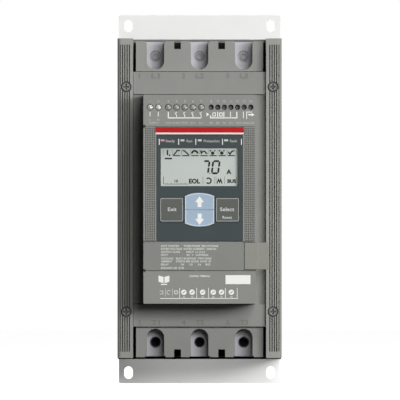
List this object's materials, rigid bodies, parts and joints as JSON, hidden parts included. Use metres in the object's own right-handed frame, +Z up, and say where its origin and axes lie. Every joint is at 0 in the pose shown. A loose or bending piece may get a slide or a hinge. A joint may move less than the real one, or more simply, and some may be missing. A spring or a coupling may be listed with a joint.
{
  "type": "soft starter",
  "caption": "Wall-mounted motor soft starter: finned heat sink with fans, deep cable terminals at both ends, grooved side columns and a proud keypad module with display.",
  "frame": {"origin": "centre of the back face of the mounting plate, on the wall", "axes": "+Z up, -Y out of the wall to the front, +X to the right seen from the front"},
  "size_m": [0.13, 0.235, 0.295],
  "materials": {
    "sheet_steel": "pale grey coated sheet",
    "housing_plastic": "fine matt moulded plastic, warm grey",
    "column_plastic": "fine matt moulded plastic, warm grey",
    "shroud_plastic": "fine matt moulded plastic, warm grey",
    "module_plastic": "fine matt moulded plastic, warm grey",
    "port_plastic": "matt moulded plastic, beige grey",
    "black_plastic": "black moulded plastic",
    "block_plastic": "dark grey moulded plastic",
    "aluminium": "mill-finish extrusion",
    "tinned_copper": "tin-plated copper, satin",
    "zinc_steel": "zinc-plated steel",
    "dark_steel": "blackened steel",
    "power_case": "black moulded case",
    "relay_case": "off-white moulded case",
    "core_case": "dark blue moulded case",
    "circuit_board": "green coated glass-fibre board",
    "cable": "grey flat cable",
    "strip_red": "red printed strip",
    "panel_foil": "blue-grey matt panel",
    "key_grey": "dark grey key",
    "key_blue": "pale blue key",
    "rubber": "silicone rubber",
    "backlight": "white diffuser",
    "display_glass": "grey-green liquid crystal cell",
    "clear_pane": "clear pane",
    "lamp": "clear light guide"
  },
  "bodies": {
    "housing": {"mounting_plate": "sheet_steel", "front_housing": "housing_plastic", "rear_housing": "housing_plastic", "side_cover_left": "column_plastic", "side_cover_right": "column_plastic", "line_terminal_shroud": "shroud_plastic", "load_terminal_shroud": "shroud_plastic", "module_case": "module_plastic", "upper_cover": "module_plastic", "keypad_bezel": "module_plastic", "label_panel": "module_plastic", "lower_cover": "module_plastic", "fan_tray": "black_plastic", "outlet_grille": "black_plastic", "fan_frame_left": "black_plastic", "fan_frame_right": "black_plastic", "line_terminal_carrier": "black_plastic", "load_terminal_carrier": "black_plastic", "bus_socket": "black_plastic", "supply_terminal_block": "block_plastic", "input_terminal_block": "block_plastic", "relay_terminal_block": "block_plastic", "heat_sink": "aluminium", "line_busbar_left": "tinned_copper", "line_busbar_right": "tinned_copper", "load_busbar_left": "tinned_copper", "load_busbar_right": "tinned_copper", "center_busbar": "tinned_copper", "plate_screws": "zinc_steel", "terminal_nuts": "zinc_steel", "control_terminal_screws": "zinc_steel", "housing_screws": "dark_steel", "thyristor_left": "power_case", "thyristor_right": "power_case", "bypass_relay_left": "relay_case", "bypass_relay_right": "relay_case", "current_transformer_left": "core_case", "current_transformer_middle": "core_case", "current_transformer_right": "core_case", "power_board": "circuit_board", "control_board": "circuit_board", "display_board": "circuit_board", "ribbon_cable": "cable", "color_strip": "strip_red", "keypad_panel": "panel_foil", "keypad_mat": "rubber", "lcd_backlight": "backlight", "lcd_module": "display_glass", "display_lens": "clear_pane", "status_lamps": "lamp"},
    "fan_rotor_left": {"fan_rotor_left": "black_plastic"},
    "fan_rotor_right": {"fan_rotor_right": "black_plastic"},
    "exit_key": {"exit_key": "key_grey"},
    "up_key": {"up_key": "key_blue"},
    "down_key": {"down_key": "key_blue"},
    "select_key": {"select_key": "key_grey"},
    "bus_port_cover": {"bus_port_cover": "port_plastic"}
  },
  "joints": [
    {"name": "fan_rotor_left_spin", "type": "hinge", "parent": "housing", "child": "fan_rotor_left", "pos_m": [-0.0305, -0.04, -0.11], "axis": [0, 0, 1], "continuous": true},
    {"name": "fan_rotor_right_spin", "type": "hinge", "parent": "housing", "child": "fan_rotor_right", "pos_m": [0.0305, -0.04, -0.11], "axis": [0, 0, 1], "continuous": true},
    {"name": "exit_key_press", "type": "slide", "parent": "housing", "child": "exit_key", "axis": [0, 1, 0], "range_m": [0, 0.0008], "stiffness_N_per_m": 2000},
    {"name": "up_key_press", "type": "slide", "parent": "housing", "child": "up_key", "axis": [0, 1, 0], "range_m": [0, 0.0008], "stiffness_N_per_m": 2000},
    {"name": "down_key_press", "type": "slide", "parent": "housing", "child": "down_key", "axis": [0, 1, 0], "range_m": [0, 0.0008], "stiffness_N_per_m": 2000},
    {"name": "select_key_press", "type": "slide", "parent": "housing", "child": "select_key", "axis": [0, 1, 0], "range_m": [0, 0.0008], "stiffness_N_per_m": 2000},
    {"name": "bus_port_cover_pull", "type": "slide", "parent": "housing", "child": "bus_port_cover", "axis": [0, -1, 0], "range_m": [0, 0.025]}
  ]
}
